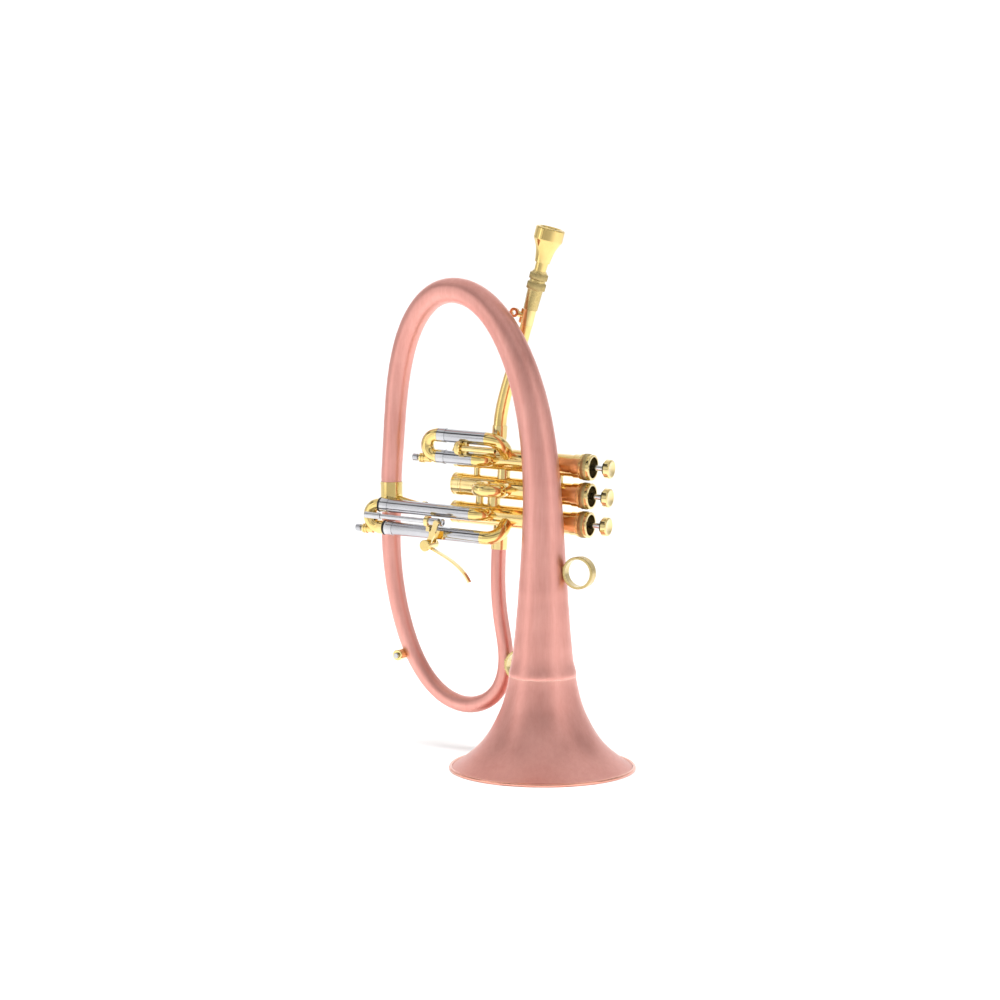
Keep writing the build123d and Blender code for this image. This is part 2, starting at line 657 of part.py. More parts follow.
def ring_brace():
    """The ring between the bell tail and the front bow, filed to fit both."""
    x, y, z = -30.2, 21.8, 79.2
    foot = Pos(x + 14, y - 1.0, z) * Box(8, 5.5, 8)
    arm = Pos(x - 12.4, y + 2.5, z) * Box(5, 6, 8)
    post = foot + arm - rod((x, -5, z), (x, 40, z), 12.6)
    body = finger_ring(x, y, z) + post - stem_bar() - bow_bar() - flare_body()
    return max(body.solids(), key=lambda s: s.volume)


def flanged_stay(a, b, r, trims):
    """A round stay with a small flange at each end, cut to fit its neighbours."""
    way = (Vector(*b) - Vector(*a)).normalized()
    a1 = tuple(Vector(*a) + way * 2.6)
    b1 = tuple(Vector(*b) - way * 2.6)
    bar = rod(a, b, r) + rod(a, a1, r + 1.6) + rod(b, b1, r + 1.6)
    for trim in trims:
        bar -= trim
    return max(bar.solids(), key=lambda s: s.volume)


def stays():
    """The soldered stays between bell, valve block, tubes and leadpipe."""
    bell = stem_bar()
    pipe_bar = taper(leadpipe_path(), [(s, r + CLEAR) for s, r in LEAD_TAPER])
    group = []
    for row in (1, 3):
        at = world((98, -CASING_R + 1.0, ROWS[row]))
        back = (at[0], 12.0, at[2])
        group.append(flanged_stay(at, back, 2.6, [bell, BLOCK * casing_block(row)]))
    group.append(flanged_stay((-34.0, 27.0, 344), (-29.5, 12.5, 344), 2.2, [bell, pipe_bar]))
    sleeve = rod((TAIL_X, TUBE_Y, 205), (TAIL_X, TUBE_Y, 230), 9.3 + CLEAR)
    leg_end = world((-12, LEG_Y + 3.0, LEG3[0] + 2.5))
    group.append(flanged_stay((-146.8, 24.5, 213.5), leg_end, 1.9, [sleeve, BLOCK * leg_bar(LEG3)]))
    return group


def lyre_holder():
    """A small tube with a thumb screw, carried on two feet on the first slide."""
    y, q = -28.4, 32.6
    tube = ring_x(25.0, y, q, 2.4, 1.55, 30.0)
    feet = Pos(26.6, y + 3.6, q) * Box(3.2, 4.4, 10)
    body = tube + (feet - rod((20, y, q), (60, y, q), 1.9)) - leg_bar(LEG1)
    body -= rod((26, y, q), (56, y, q), 1.55)
    return BLOCK * body


def lyre_screw():
    y, q = -28.4, 32.6
    head = rod((19.4, y, q), (24.2, y, q), 5.5)
    head = chamfer(head.edges().filter_by(GeomType.CIRCLE), 0.6)
    return BLOCK * (head + rod((24, y, q), (33, y, q), 1.5))


def bow_key_body():
    """The barrel of the push-button water key low on the front bow."""
    x, z = KEY_AT
    body = rod((x, 13.5, z), (x, 25.0, z), 4.5)
    body = chamfer(body.faces().sort_by(Axis.Y)[0].edges(), 0.5)
    body -= bow_bar()
    keep = max(body.solids(), key=lambda s: s.volume)
    return keep - rod((x, 12, z), (x, 19.5, z), 2.5)


def bow_key_button():
    x, z = KEY_AT
    pin = rod((x, 10.8, z), (x, 17.2, z), 2.3)
    return chamfer(pin.faces().sort_by(Axis.Y)[0].edges(), 0.5)


def nodes():
    """Every sub-part by name, each a solid or a list of separate solids."""
    parts = {
        "bell_flare": bell_flare(), "bell_rim_wire": bell_rim_wire(),
        "bell_stem": bell_stem(), "front_bow": front_bow(),
        "tube_ferrules": [bell_ferrule(), tail_ferrule()],
        "pinky_ring": pinky_ring(), "ring_brace": ring_brace(), "stays": stays(),
        "bow_water_key_body": bow_key_body(), "bow_water_key_button": bow_key_button(),
        "valve_knuckles": knuckles(),
        "bottom_caps": [bottom_cap(row) for row in ROWS],
        "top_caps": [top_cap(row) for row in ROWS],
        "cap_felts": [cap_felt(row) for row in ROWS],
        "slide1_outer_tubes": slide1_outer_tubes(), "slide1_elbows": slide1_elbows(),
        "slide1_inner_tubes": inner_tubes(BOW1_X + 0.05, 22, LEG1),
        "slide1_bow": u_bow(BOW1_X, {LEG1[0]: 1.5, LEG1[1]: 1.5}),
        "slide1_water_key_body": key_body(BOW1_X, LEG1),
        "slide1_water_key_button": key_button(BOW1_X, LEG1),
        "slide2_outer_tubes": slide2_outer_tubes(),
        "slide2_inner_tubes": slide2_inner_tubes(), "slide2_bow": slide2_bow(),
        "slide3_outer_tubes": slide3_outer_tubes(), "slide3_elbows": slide3_elbows(),
        "slide3_inner_tubes": inner_tubes(BOW3_X + 0.05, 8, LEG3),
        "slide3_bow": u_bow(BOW3_X, {LEG3[0]: 0, LEG3[1]: 5.1}),
        "slide3_bumper_rings": bumper_rings(),
        "slide3_water_key_body": key_body(BOW3_X, LEG3),
        "slide3_water_key_button": key_button(BOW3_X, LEG3),
        "trigger_rod_clamp": rod_clamp(), "trigger_push_rod": push_rod(),
        "trigger_rod_guide": rod_guide(), "trigger_rod_barrel": rod_barrel(),
        "trigger_lever": trigger_lever(), "trigger_bracket": trigger_bracket(),
        "trigger_pivot_screw": trigger_pivot_screw(),
        "lyre_holder": lyre_holder(), "lyre_screw": lyre_screw(),
        "leadpipe": leadpipe(), "leadpipe_ferrule": leadpipe_ferrule(),
        "leadpipe_sleeve": leadpipe_sleeve(), "lock_screw": lock_screw(),
        "mouthpiece_receiver": mouthpiece_receiver(), "mouthpiece": mouthpiece(),
    }
    for row in ROWS:
        parts[f"casing_{row}"] = casing(row)
        parts[f"piston_{row}"] = piston(row)
        parts[f"piston_stem_{row}"] = [stem(row), stem_felt(row)]
        parts[f"finger_button_{row}"] = button(row)
        parts[f"piston_spring_{row}"] = spring(row)
    return parts


for name, shape in nodes().items():
    solids = shape if isinstance(shape, list) else [shape]
    whole = Compound(children=[s for item in solids for s in item.solids()])
    export_step(whole, f"parts/{name}.step")
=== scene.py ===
import json
import math

import bpy
import numpy as np
from bpy.props import FloatProperty, FloatVectorProperty, IntProperty, PointerProperty
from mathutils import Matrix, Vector


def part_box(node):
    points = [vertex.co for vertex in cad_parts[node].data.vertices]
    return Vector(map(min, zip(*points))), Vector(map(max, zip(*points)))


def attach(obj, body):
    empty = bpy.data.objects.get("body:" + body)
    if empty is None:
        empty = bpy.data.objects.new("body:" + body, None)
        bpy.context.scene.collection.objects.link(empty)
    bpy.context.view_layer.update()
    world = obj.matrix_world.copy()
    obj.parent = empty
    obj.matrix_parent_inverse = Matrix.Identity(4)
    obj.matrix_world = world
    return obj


bl_info = {
    "name": "Flugelhorn studio",
    "version": (1, 0, 0),
    "blender": (4, 5, 0),
    "location": "View3D > Sidebar > Horn",
    "description": "Finishes and small fittings for a three valve flugelhorn",
    "category": "Object",
}

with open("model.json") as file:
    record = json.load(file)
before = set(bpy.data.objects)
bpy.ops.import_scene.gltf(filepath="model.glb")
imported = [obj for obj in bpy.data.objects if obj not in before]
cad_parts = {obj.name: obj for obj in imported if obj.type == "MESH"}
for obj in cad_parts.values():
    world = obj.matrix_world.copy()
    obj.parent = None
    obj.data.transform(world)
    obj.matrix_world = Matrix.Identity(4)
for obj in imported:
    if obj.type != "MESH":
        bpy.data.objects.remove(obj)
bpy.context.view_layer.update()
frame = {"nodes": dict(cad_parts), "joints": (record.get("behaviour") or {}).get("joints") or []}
MM = 0.001
CAMERA_PLACE = (0.8254, -1.7419, 0.3971)
CAMERA_TILT = math.radians(84.73)
CAMERA_TURN = math.radians(26.38)
HORN_MIDDLE = (-0.05, 0, 0.2)
SEAM_RADIUS = 27.38          # mm, just proud of the copper
RECEIVER_FROM_SCREW = 26.5   # mm along the leadpipe from the lock screw
SCREW_REACH = 8.0            # mm from the leadpipe's axis to the lock screw's pivot

# The colour sockets of a Mix node, which has one set for each data type.
MIX_FACTOR, MIX_A, MIX_B, MIX_RESULT = 0, 6, 7, 2

COPPER_NODES = ("bell_flare", "bell_stem", "front_bow")
BRASS_NODES = (
    "tube_ferrules", "stays", "valve_knuckles", "slide1_elbows", "slide3_elbows",
    "slide1_bow", "slide2_bow", "slide3_bow", "leadpipe", "leadpipe_ferrule",
    "leadpipe_sleeve", "lyre_holder", "lyre_screw", "trigger_lever", "trigger_bracket",
    "trigger_rod_guide", "trigger_pivot_screw", "bow_water_key_body", "slide1_water_key_body",
    "slide3_water_key_body", "slide2_outer_tubes",
)
SATIN_BRASS_NODES = ("pinky_ring", "ring_brace", "mouthpiece_receiver")
NICKEL_NODES = (
    "slide1_outer_tubes", "slide1_inner_tubes", "slide2_inner_tubes", "slide3_outer_tubes",
    "slide3_inner_tubes", "trigger_rod_clamp", "trigger_push_rod", "trigger_rod_barrel",
    "bow_water_key_button", "slide1_water_key_button",
    "slide3_water_key_button",
)
VALVES = (1, 2, 3)


# ---------------------------------------------------------------- node helpers

def new_group(name, inputs, outputs):
    """A shader node group with the given named sockets."""
    tree = bpy.data.node_groups.new(name, "ShaderNodeTree")
    for label, kind, default in inputs:
        socket = tree.interface.new_socket(name=label, in_out="INPUT", socket_type=kind)
        if default is not None:
            socket.default_value = default
    for label, kind in outputs:
        tree.interface.new_socket(name=label, in_out="OUTPUT", socket_type=kind)
    return tree, tree.nodes.new("NodeGroupInput"), tree.nodes.new("NodeGroupOutput")


def mapped_noise(tree, scale_vector, noise_scale, detail, roughness=0.55):
    """Noise over object coordinates stretched by scale_vector."""
    where = tree.nodes.new("ShaderNodeTexCoord")
    mapping = tree.nodes.new("ShaderNodeMapping")
    mapping.inputs["Scale"].default_value = scale_vector
    noise = tree.nodes.new("ShaderNodeTexNoise")
    noise.inputs["Scale"].default_value = noise_scale
    noise.inputs["Detail"].default_value = detail
    noise.inputs["Roughness"].default_value = roughness
    tree.links.new(where.outputs["Object"], mapping.inputs["Vector"])
    tree.links.new(mapping.outputs["Vector"], noise.inputs["Vector"])
    return noise


def math_node(tree, operation, a, b):
    """The output of a Math node on two sockets or numbers."""
    node = tree.nodes.new("ShaderNodeMath")
    node.operation = operation
    for socket, value in zip(node.inputs, (a, b)):
        if isinstance(value, (int, float)):
            socket.default_value = value
        else:
            tree.links.new(value, socket)
    return node.outputs["Value"]


def brushed_group(name, stretch):
    """Fine satin lines drawn along one axis: a value and a normal."""
    tree, given, result = new_group(
        name,
        [("Strength", "NodeSocketFloat", 0.2), ("Depth", "NodeSocketFloat", 0.00002)],
        [("Value", "NodeSocketFloat"), ("Normal", "NodeSocketVector")])
    fine = mapped_noise(tree, stretch, 900.0, 3.0)
    broad = mapped_noise(tree, stretch, 260.0, 2.0)
    total = math_node(tree, "ADD", fine.outputs["Fac"], broad.outputs["Fac"])
    value = math_node(tree, "MULTIPLY", total, 0.5)
    bump = tree.nodes.new("ShaderNodeBump")
    tree.links.new(given.outputs["Strength"], bump.inputs["Strength"])
    tree.links.new(given.outputs["Depth"], bump.inputs["Distance"])
    tree.links.new(value, bump.inputs["Height"])
    tree.links.new(value, result.inputs["Value"])
    tree.links.new(bump.outputs["Normal"], result.inputs["Normal"])
    return tree


def handled_group():
    """Lacquer that has been handled: broad soft smudges and small specks."""
    tree, given, result = new_group(
        "handled_lacquer",
        [("Least", "NodeSocketFloat", 0.08), ("Most", "NodeSocketFloat", 0.2)],
        [("Roughness", "NodeSocketFloat"), ("Mask", "NodeSocketFloat")])
    broad = mapped_noise(tree, (1, 1, 1), 28.0, 4.0)
    small = mapped_noise(tree, (1, 1, 1), 420.0, 2.0)
    mixed = math_node(tree, "MULTIPLY", broad.outputs["Fac"], small.outputs["Fac"])
    spread = tree.nodes.new("ShaderNodeMapRange")
    spread.inputs["From Min"].default_value = 0.12
    spread.inputs["From Max"].default_value = 0.42
    tree.links.new(mixed, spread.inputs["Value"])
    tree.links.new(given.outputs["Least"], spread.inputs["To Min"])
    tree.links.new(given.outputs["Most"], spread.inputs["To Max"])
    tree.links.new(spread.outputs["Result"], result.inputs["Roughness"])
    tree.links.new(broad.outputs["Fac"], result.inputs["Mask"])
    return tree


def edge_group():
    """A mask that is high on worn outer edges, broken up by noise."""
    tree, given, result = new_group(
        "edge_wear",
        [("Amount", "NodeSocketFloat", 0.5)],
        [("Mask", "NodeSocketFloat")])
    shape = tree.nodes.new("ShaderNodeNewGeometry")
    ramp = tree.nodes.new("ShaderNodeMapRange")
    ramp.inputs["From Min"].default_value = 0.52
    ramp.inputs["From Max"].default_value = 0.62
    tree.links.new(shape.outputs["Pointiness"], ramp.inputs["Value"])
    noise = mapped_noise(tree, (1, 1, 1), 160.0, 3.0)
    broken = math_node(tree, "MULTIPLY", ramp.outputs["Result"], noise.outputs["Fac"])
    mask = math_node(tree, "MULTIPLY", broken, given.outputs["Amount"])
    tree.links.new(mask, result.inputs["Mask"])
    return tree


def group(name):
    """The shared group of that name, made the first time it is asked for."""
    found = bpy.data.node_groups.get(name)
    if found:
        return found
    if name == "handled_lacquer":
        return handled_group()
    if name == "edge_wear":
        return edge_group()
    stretch = {"brushed_up": (1, 1, 0.03), "brushed_along": (0.03, 1, 1)}[name]
    return brushed_group(name, stretch)


def metal(name, dark, light, worn, rough, brush="brushed_along", brush_depth=0.05,
          coat=0.0, coat_roughness=0.05, metallic=1.0):
    """A metal: two tones over soft patches and brush lines, a worn edge tone, lacquer."""
    material = bpy.data.materials.new(name)
    material.use_nodes = True
    tree = material.node_tree
    shader = tree.nodes["Principled BSDF"]
    shader.inputs["Metallic"].default_value = metallic
    shader.inputs["Coat Weight"].default_value = coat
    shader.inputs["Coat Roughness"].default_value = coat_roughness
    lines = tree.nodes.new("ShaderNodeGroup")
    lines.node_tree = group(brush)
    lines.inputs["Strength"].default_value = brush_depth
    handled = tree.nodes.new("ShaderNodeGroup")
    handled.node_tree = group("handled_lacquer")
    handled.inputs["Least"].default_value = rough[0]
    handled.inputs["Most"].default_value = rough[1]
    edges = tree.nodes.new("ShaderNodeGroup")
    edges.node_tree = group("edge_wear")
    tone = math_node(tree, "ADD", lines.outputs["Value"], handled.outputs["Mask"])
    tone = math_node(tree, "MULTIPLY", tone, 0.5)
    ramp = tree.nodes.new("ShaderNodeValToRGB")
    ramp.color_ramp.elements[0].position = 0.3
    ramp.color_ramp.elements[0].color = (*dark, 1)
    ramp.color_ramp.elements[1].position = 0.7
    ramp.color_ramp.elements[1].color = (*light, 1)
    tree.links.new(tone, ramp.inputs["Fac"])
    mix = tree.nodes.new("ShaderNodeMix")
    mix.data_type = "RGBA"
    mix.inputs[MIX_B].default_value = (*worn, 1)
    tree.links.new(edges.outputs["Mask"], mix.inputs[MIX_FACTOR])
    tree.links.new(ramp.outputs["Color"], mix.inputs[MIX_A])
    tree.links.new(mix.outputs[MIX_RESULT], shader.inputs["Base Color"])
    tree.links.new(handled.outputs["Roughness"], shader.inputs["Roughness"])
    tree.links.new(lines.outputs["Normal"], shader.inputs["Normal"])
    return material


def finish_nodes(nodes, material):
    """Gives the CAD nodes one material."""
    for name in nodes:
        data = frame["nodes"][name].data
        data.materials.clear()
        data.materials.append(material)


# ---------------------------------------------------------------- mesh helpers

def axes_for(direction):
    """Two unit vectors square to the direction."""
    along = Vector(direction).normalized()
    other = Vector((0, 1, 0)) if abs(along.y) < 0.9 else Vector((1, 0, 0))
    u = along.cross(other).normalized()
    return along, u, along.cross(u)


def lathe(name, centre, direction, profile, around=96, ripples=0, depth=0.0):
    """A closed ring swept round an axis.

    Row k of the profile is (along s, radius r, ripple weight w) in metres, and the
    rows close on themselves. At the angle t a point lies at
    centre + s * axis + (r + w * depth * cos(ripples * t)) * (u cos t + v sin t).
    """
    along, u, v = (np.array(a) for a in axes_for(direction))
    rows = np.array(profile, dtype=float)
    t = np.linspace(0, 2 * math.pi, around, endpoint=False)
    radius = rows[:, 1:2] + rows[:, 2:3] * depth * np.cos(ripples * t)[None, :]
    ring = np.cos(t)[None, :, None] * u + np.sin(t)[None, :, None] * v
    points = np.array(centre) + rows[:, 0][:, None, None] * along + radius[:, :, None] * ring
    count = len(rows)
    i, j = np.meshgrid(np.arange(count), np.arange(around), indexing="ij")
    i1, j1 = (i + 1) % count, (j + 1) % around
    faces = np.stack([i * around + j, i1 * around + j, i1 * around + j1, i * around + j1], -1)
    mesh = bpy.data.meshes.new(name)
    mesh.from_pydata(points.reshape(-1, 3).tolist(), [], faces.reshape(-1, 4).tolist())
    mesh.polygons.foreach_set("use_smooth", np.ones(len(mesh.polygons), dtype=bool))
    mesh.validate()
    mesh.update()
    piece = bpy.data.objects.new(name, mesh)
    bpy.context.scene.collection.objects.link(piece)
    return piece


def band_profile(low, high, inner, outer, ease):
    """The section of a flat band with eased corners, wound to face outwards."""
    return [(low, inner, 0), (high, inner, 0), (high, outer - ease, 0.4),
            (high - ease, outer, 1), (low + ease, outer, 1), (low, outer - ease, 0.4)]


def knurled_brass():
    """Matt brass for the knurled bands, shared by all of them. Its darker tone is painted shade,
    standing in for the shade in the knurl grooves.
    """
    return bpy.data.materials.get("knurled_brass") or metal(
        # darker tones than the satin and polished brass: painted shade of the knurl grooves
        "knurled_brass", (0.36, 0.27, 0.1), (0.56, 0.43, 0.19), (0.9, 0.75, 0.42),
        (0.3, 0.46), "brushed_up", 0.12)


def joint(name):
    """The record's joint of that name."""
    return next(j for j in frame["joints"] if j["name"] == name)


def box_middle(node):
    """The middle of a CAD node's box."""
    low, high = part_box(node)
    return (Vector(low) + Vector(high)) / 2


def add_band(name, centre, direction, span, radii, material, body, ripples, depth):
    """A band on a turned part: span along the axis, inner and outer radius in mm."""
    profile = band_profile(span[0] * MM, span[1] * MM, radii[0] * MM, radii[1] * MM, 0.25 * MM)
    around = max(96, ripples * 4)
    piece = lathe(name, centre, direction, profile, around, ripples, depth * MM)
    piece.data.materials.append(material)
    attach(piece, body)
    return piece


# ---------------------------------------------------------------- settings

class HORN_PG_settings(bpy.types.PropertyGroup):
    copper_tone: FloatVectorProperty(
        name="Copper tone", description="Light tone of the satin copper", size=3,
        subtype="COLOR", default=(0.88, 0.45, 0.39), min=0, max=1)
    brass_tone: FloatVectorProperty(
        name="Brass tone", description="Light tone of the polished brass", size=3,
        subtype="COLOR", default=(0.93, 0.71, 0.27), min=0, max=1)
    knurls: IntProperty(
        name="Knurls", description="Ridges round each knurled band", default=56, min=12, max=160)
    knurl_depth: FloatProperty(
        name="Knurl depth", description="Height of a ridge in mm", default=0.16, min=0, max=0.5)
    camera_lens: FloatProperty(
        name="Lens", description="Focal length in mm", default=86.4, min=20, max=300)
    key_power: FloatProperty(
        name="Key light", description="Power of the main soft light in W", default=4.5, min=0)
    room_light: FloatProperty(
        name="Room light", description="Brightness of the white room", default=0.82, min=0)


# ---------------------------------------------------------------- operators

class HORN_OT_copper(bpy.types.Operator):
    """Satin copper for the bell and the front bow"""
    bl_idname = "horn.copper"
    bl_label = "Copper tube"

    def execute(self, context):
        light = tuple(context.scene.horn.copper_tone)
        dark = tuple(c * s for c, s in zip(light, (0.84, 0.72, 0.7)))
        copper = metal("satin_copper", dark, light, (0.95, 0.56, 0.48), (0.36, 0.48),
                       "brushed_up", 0.45, coat=0.2, coat_roughness=0.2)
        finish_nodes(COPPER_NODES, copper)
        rim = metal("rim_copper", (0.8, 0.36, 0.27), (0.93, 0.47, 0.36), (0.98, 0.66, 0.52),
                    (0.16, 0.28), "brushed_up", 0.08, coat=0.4)
        finish_nodes(("bell_rim_wire",), rim)
        return {"FINISHED"}


class HORN_OT_seam(bpy.types.Operator):
    """The thin light seam where the flare meets the bell stem"""
    bl_idname = "horn.seam"
    bl_label = "Bell seam"

    def execute(self, context):
        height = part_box("bell_flare")[1][2]
        solder = metal("seam_solder", (0.9, 0.66, 0.5), (0.98, 0.78, 0.64), (1, 0.85, 0.7),
                       (0.18, 0.3), "brushed_up", 0.05)
        add_band("bell_seam_line", (0, 0, height), (0, 0, 1), (-0.3, 0.3), (26.9, SEAM_RADIUS),
                 solder, "horn", 0, 0)
        return {"FINISHED"}


class HORN_OT_brass(bpy.types.Operator):
    """Polished lacquered brass for bows, elbows, leadpipe, stays and lever"""
    bl_idname = "horn.brass"
    bl_label = "Polished brass"

    def execute(self, context):
        light = tuple(context.scene.horn.brass_tone)
        dark = tuple(c * s for c, s in zip(light, (0.9, 0.86, 0.78)))
        brass = metal("polished_brass", dark, light, (1, 0.86, 0.5), (0.06, 0.16),
                      "brushed_along", 0.03, coat=0.7, coat_roughness=0.03)
        finish_nodes(BRASS_NODES, brass)
        orange = metal("lock_screw_bronze", (0.5, 0.2, 0.06), (0.72, 0.36, 0.14),
                       (0.95, 0.7, 0.3), (0.12, 0.28), "brushed_up", 0.05, coat=0.5)
        finish_nodes(("lock_screw",), orange)
        return {"FINISHED"}


class HORN_OT_satin_brass(bpy.types.Operator):
    """Satin brass for the finger ring, its brace and the mouthpiece receiver"""
    bl_idname = "horn.satin_brass"
    bl_label = "Satin brass"

    def execute(self, context):
        settings = context.scene.horn
        satin = metal("satin_brass", (0.5, 0.37, 0.13), (0.72, 0.56, 0.25), (1, 0.86, 0.5),
                      (0.2, 0.36), "brushed_up", 0.12, coat=0.3, coat_roughness=0.1)
        finish_nodes(SATIN_BRASS_NODES, satin)
        pull = joint("receiver_pull")
        way = Vector(pull["axis"])
        screw = joint("lock_screw_turn")
        across = Vector(screw["axis"])
        centre = Vector(screw["pos_m"]) + across * SCREW_REACH * MM
        centre += way * RECEIVER_FROM_SCREW * MM
        for name, span, radius in (("receiver_knurl_low", (-3.2, 2.6), 7.5),
                                   ("receiver_knurl_high", (5.2, 10.2), 7.3)):
            add_band(name, centre, way, span, (radius - 0.5, radius + 0.14), knurled_brass(),
                     "tuning_receiver", settings.knurls, settings.knurl_depth)
        return {"FINISHED"}


class HORN_OT_nickel(bpy.types.Operator):
    """Polished nickel silver for slide legs, rod, clamp and water key tips"""
    bl_idname = "horn.nickel"
    bl_label = "Nickel silver"

    def execute(self, context):
        nickel = metal("nickel_silver", (0.44, 0.44, 0.46), (0.6, 0.6, 0.63),
                       (0.95, 0.95, 0.96), (0.08, 0.18), "brushed_along", 0.06)
        finish_nodes(NICKEL_NODES, nickel)
        rubber = metal("slide_bumper", (0.012, 0.012, 0.013), (0.03, 0.03, 0.032),
                       (0.08, 0.08, 0.08), (0.55, 0.8), "brushed_along", 0.1, metallic=0.0)
        finish_nodes(("slide3_bumper_rings",), rubber)
        return {"FINISHED"}


class HORN_OT_valves(bpy.types.Operator):
    """Casings, caps, pistons, stems, buttons, felts and springs"""
    bl_idname = "horn.valves"
    bl_label = "Valves"

    def execute(self, context):
        settings = context.scene.horn
        casing = metal("casing_brass", (0.84, 0.58, 0.22), (0.94, 0.69, 0.28), (1, 0.86, 0.5),
                       (0.07, 0.18), "brushed_along", 0.04, coat=0.6, coat_roughness=0.03)
        gold = metal("cap_gold", (0.82, 0.63, 0.26), (0.93, 0.74, 0.35), (1, 0.9, 0.55),
                     (0.07, 0.17), "brushed_up", 0.03, coat=0.6, coat_roughness=0.03)
        monel = metal("piston_monel", (0.5, 0.5, 0.5), (0.66, 0.65, 0.63), (0.85, 0.85, 0.84),
                      (0.18, 0.3), "brushed_along", 0.1)
        steel = metal("spring_steel", (0.36, 0.36, 0.37), (0.52, 0.52, 0.54), (0.8, 0.8, 0.8),
                      (0.2, 0.35), "brushed_along", 0.05)
        felt = metal("cap_felt", (0.02, 0.018, 0.016), (0.07, 0.065, 0.06), (0.12, 0.11, 0.1),
                     (0.85, 1.0), "brushed_up", 0.6, metallic=0.0)
        bright = metal("stem_silver", (0.66, 0.66, 0.67), (0.86, 0.86, 0.88), (0.95, 0.95, 0.95),
                       (0.08, 0.18), "brushed_along", 0.04)
        finish_nodes([f"casing_{i}" for i in VALVES], casing)
        finish_nodes(["bottom_caps", "top_caps"] + [f"finger_button_{i}" for i in VALVES], gold)
        finish_nodes([f"piston_{i}" for i in VALVES], monel)
        finish_nodes([f"piston_stem_{i}" for i in VALVES], bright)
        finish_nodes([f"piston_spring_{i}" for i in VALVES], steel)
        finish_nodes(["cap_felts"], felt)
        knurled = knurled_brass()
        for i in VALVES:
            face = box_middle(f"finger_button_{i}")
            way = joint(f"valve_{i}_press")["axis"]
            add_band(f"top_cap_knurl_{i}", face, way, (16.1, 21.0), (10.0, 10.78), knurled,
                     "horn", settings.knurls, settings.knurl_depth)
        return {"FINISHED"}


class HORN_OT_mouthpiece(bpy.types.Operator):
    """Bright gold plate for the mouthpiece"""
    bl_idname = "horn.mouthpiece"
    bl_label = "Mouthpiece"

    def execute(self, context):
        plate = metal("gold_plate", (0.8, 0.57, 0.19), (0.92, 0.7, 0.28), (1, 0.9, 0.6),
                      (0.05, 0.12), "brushed_up", 0.02, coat=0.3, coat_roughness=0.03)
        finish_nodes(("mouthpiece",), plate)
        return {"FINISHED"}


class HORN_OT_lyre_knurl(bpy.types.Operator):
    """The knurled edge of the lyre thumb screw"""
    bl_idname = "horn.lyre_knurl"
    bl_label = "Lyre screw knurl"

    def execute(self, context):
        settings = context.scene.horn
        turn = joint("lyre_screw_turn")
        material = frame["nodes"]["lyre_screw"].data.materials[0]
        add_band("lyre_screw_knurl", turn["pos_m"], turn["axis"], (-1.9, 1.5), (5.2, 5.62),
                 material, "lyre_screw", 40, settings.knurl_depth)
        return {"FINISHED"}


def soft_light(name, place, aim, size, power, height=None):
    """A soft panel light of the given width and height in metres, turned towards aim."""
    light = bpy.data.lights.new(name, "AREA")
    light.shape = "RECTANGLE"
    light.size = size
    light.size_y = height or size
    light.energy = power
    lamp = bpy.data.objects.new(name, light)
    lamp.location = place
    lamp.rotation_euler = (Vector(aim) - Vector(place)).to_track_quat("-Z", "Y").to_euler()
    bpy.context.scene.collection.objects.link(lamp)
    return lamp


def sweep_floor():
    """A pale floor that curves up into a backdrop: z = 0, then a quarter circle, then a wall.

    The section runs back along the view direction and is repeated along x' across it.
    """
    back = np.array([-math.sin(CAMERA_TURN), math.cos(CAMERA_TURN), 0])
    side = np.array([math.cos(CAMERA_TURN), math.sin(CAMERA_TURN), 0])
    radius, start = 1.2, 2.2
    arc = np.linspace(0, math.pi / 2, 24)
    reach = np.concatenate([[-14.0, 0.0], start + radius * np.sin(arc), [start + radius]])
    height = np.concatenate([[0.0, 0.0], radius * (1 - np.cos(arc)), [4.5]])
    across = np.linspace(-12, 12, 3)
    base = back * reach[:, None] + np.array([0, 0, 1.0]) * height[:, None]
    points = base[:, None, :] + across[None, :, None] * side
    rows, cols = points.shape[:2]
    i, j = np.meshgrid(np.arange(rows - 1), np.arange(cols - 1), indexing="ij")
    faces = np.stack([i * cols + j, i * cols + j + 1, (i + 1) * cols + j + 1,
                      (i + 1) * cols + j], -1)
    mesh = bpy.data.meshes.new("studio_floor")
    mesh.from_pydata(points.reshape(-1, 3).tolist(), [], faces.reshape(-1, 4).tolist())
    mesh.polygons.foreach_set("use_smooth", np.ones(len(mesh.polygons), dtype=bool))
    mesh.update()
    floor = bpy.data.objects.new("studio_floor", mesh)
    bpy.context.scene.collection.objects.link(floor)
    return floor


def floor_material():
    """A matt near-white with a faint soft mottle."""
    material = bpy.data.materials.new("pale_floor")
    material.use_nodes = True
    tree = material.node_tree
    shader = tree.nodes["Principled BSDF"]
    shader.inputs["Roughness"].default_value = 0.9
    shader.inputs["Specular IOR Level"].default_value = 0.1
    noise = mapped_noise(tree, (1, 1, 1), 2.0, 2.0)
    ramp = tree.nodes.new("ShaderNodeValToRGB")
    ramp.color_ramp.elements[0].color = (0.93, 0.93, 0.93, 1)
    ramp.color_ramp.elements[1].color = (0.96, 0.96, 0.96, 1)
    tree.links.new(noise.outputs["Fac"], ramp.inputs["Fac"])
    tree.links.new(ramp.outputs["Color"], shader.inputs["Base Color"])
    return material


def tone_ramp(tree, value, stops):
    """A grey ramp through (position, brightness) stops."""
    ramp = tree.nodes.new("ShaderNodeValToRGB")
    elements = ramp.color_ramp.elements
    while len(elements) < len(stops):
        elements.new(0.5)
    for element, (position, grey) in zip(elements, stops):
        element.position = position
        element.color = (grey, grey, grey, 1)
    tree.links.new(value, ramp.inputs["Fac"])
    return ramp.outputs["Color"]


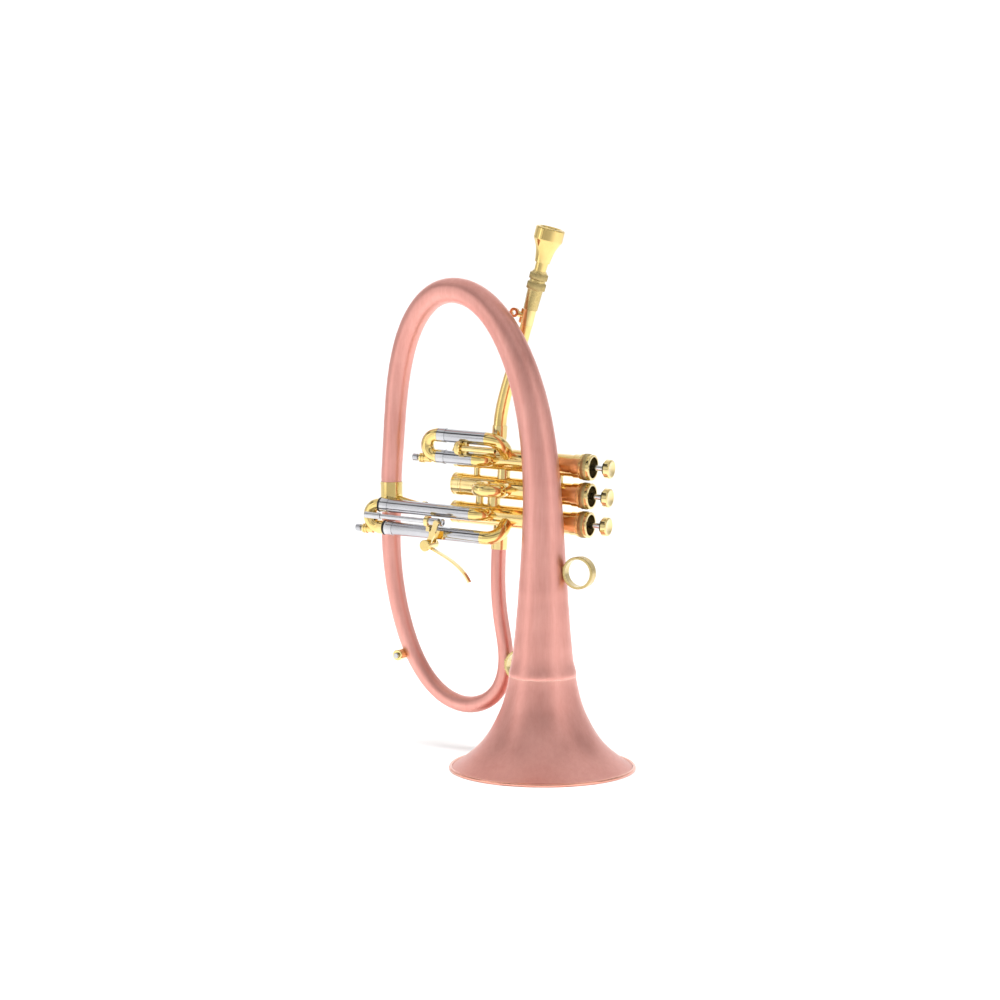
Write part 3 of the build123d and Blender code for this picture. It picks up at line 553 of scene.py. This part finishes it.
def studio_world(strength):
    """A white room with dark gaps between its soft panels.

    The brightness is the product of a ramp over the compass angle, atan2(y, x), with
    an upright gap at the front and one at each side, and a ramp over the height, z,
    with a level gap above the front panels.
    """
    world = bpy.data.worlds.new("studio")
    world.use_nodes = True
    tree = world.node_tree
    where = tree.nodes.new("ShaderNodeTexCoord")
    split = tree.nodes.new("ShaderNodeSeparateXYZ")
    tree.links.new(where.outputs["Generated"], split.inputs["Vector"])
    angle = math_node(tree, "ARCTAN2", split.outputs["Y"], split.outputs["X"])
    turn = math_node(tree, "MULTIPLY_ADD", angle, 0.5 / math.pi)
    turn.node.inputs[2].default_value = 0.5
    around = tone_ramp(tree, turn, [
        (0.0, 1.0), (0.12, 1.0), (0.132, 0.03), (0.168, 0.03), (0.18, 1.0), (0.27, 0.95),
        (0.31, 0.8), (0.335, 0.8), (0.375, 1.0), (0.455, 1.0), (0.467, 0.03), (0.505, 0.03),
        (0.517, 1.0)])
    level = math_node(tree, "MULTIPLY_ADD", split.outputs["Z"], 0.5)
    level.node.inputs[2].default_value = 0.5
    upward = tone_ramp(tree, level, [
        (0.0, 1.0), (0.49, 1.0), (0.5, 0.55), (0.53, 1.0), (0.7, 1.0), (0.73, 0.3),
        (0.81, 0.3), (0.85, 1.0)])
    both = tree.nodes.new("ShaderNodeMix")
    both.data_type = "RGBA"
    both.blend_type = "MULTIPLY"
    both.inputs[MIX_FACTOR].default_value = 1.0
    tree.links.new(around, both.inputs[MIX_A])
    tree.links.new(upward, both.inputs[MIX_B])
    tree.links.new(both.outputs[MIX_RESULT], tree.nodes["Background"].inputs["Color"])
    tree.nodes["Background"].inputs["Strength"].default_value = strength
    return world


class HORN_OT_stage(bpy.types.Operator):
    """Pale floor, soft studio lights and the camera"""
    bl_idname = "horn.stage"
    bl_label = "Stage"

    def execute(self, context):
        settings = context.scene.horn
        floor = sweep_floor()
        floor.data.materials.append(floor_material())
        context.scene.world = studio_world(settings.room_light)
        power = settings.key_power
        soft_light("key_left", (-1.35, -1.5, 0.8), (-0.08, 0, 0.22), 1.0, power, 1.6)
        soft_light("fill_right", (1.9, -0.3, 0.8), HORN_MIDDLE, 1.0, power, 1.6)
        top = soft_light("top", (-0.1, 0.2, 2.3), (0, 0, 0.2), 2.6, power * 0.5)
        wash = soft_light("backdrop_wash", (0.3, -0.4, 2.6), (-1.4, 2.9, 0.9), 2.2, power * 22.0)
        for lamp in (top, wash):
            lamp.visible_glossy = False
        camera = bpy.data.cameras.new("camera")
        camera.lens = settings.camera_lens
        camera.sensor_width = 36.0
        camera.clip_start = 0.05
        eye = bpy.data.objects.new("camera", camera)
        eye.location = CAMERA_PLACE
        eye.rotation_euler = (CAMERA_TILT, 0, CAMERA_TURN)
        context.scene.collection.objects.link(eye)
        context.scene.camera = eye
        context.scene.view_settings.view_transform = "Standard"
        return {"FINISHED"}


OPERATORS = (HORN_OT_copper, HORN_OT_seam, HORN_OT_brass, HORN_OT_satin_brass, HORN_OT_nickel,
             HORN_OT_valves, HORN_OT_mouthpiece, HORN_OT_lyre_knurl, HORN_OT_stage)


class HORN_PT_panel(bpy.types.Panel):
    bl_idname = "HORN_PT_panel"
    bl_label = "Flugelhorn"
    bl_space_type = "VIEW_3D"
    bl_region_type = "UI"
    bl_category = "Horn"

    def draw(self, context):
        for name in HORN_PG_settings.__annotations__:
            self.layout.prop(context.scene.horn, name)
        for operator in OPERATORS:
            self.layout.operator(operator.bl_idname)


CLASSES = (HORN_PG_settings, *OPERATORS, HORN_PT_panel)


def register():
    for cls in CLASSES:
        bpy.utils.register_class(cls)
    bpy.types.Scene.horn = PointerProperty(type=HORN_PG_settings)


def unregister():
    del bpy.types.Scene.horn
    for cls in reversed(CLASSES):
        bpy.utils.unregister_class(cls)


def main():
    register()
    for operator in OPERATORS:
        module, name = operator.bl_idname.split(".")
        getattr(getattr(bpy.ops, module), name)()


if __name__ == "__main__":
    main()
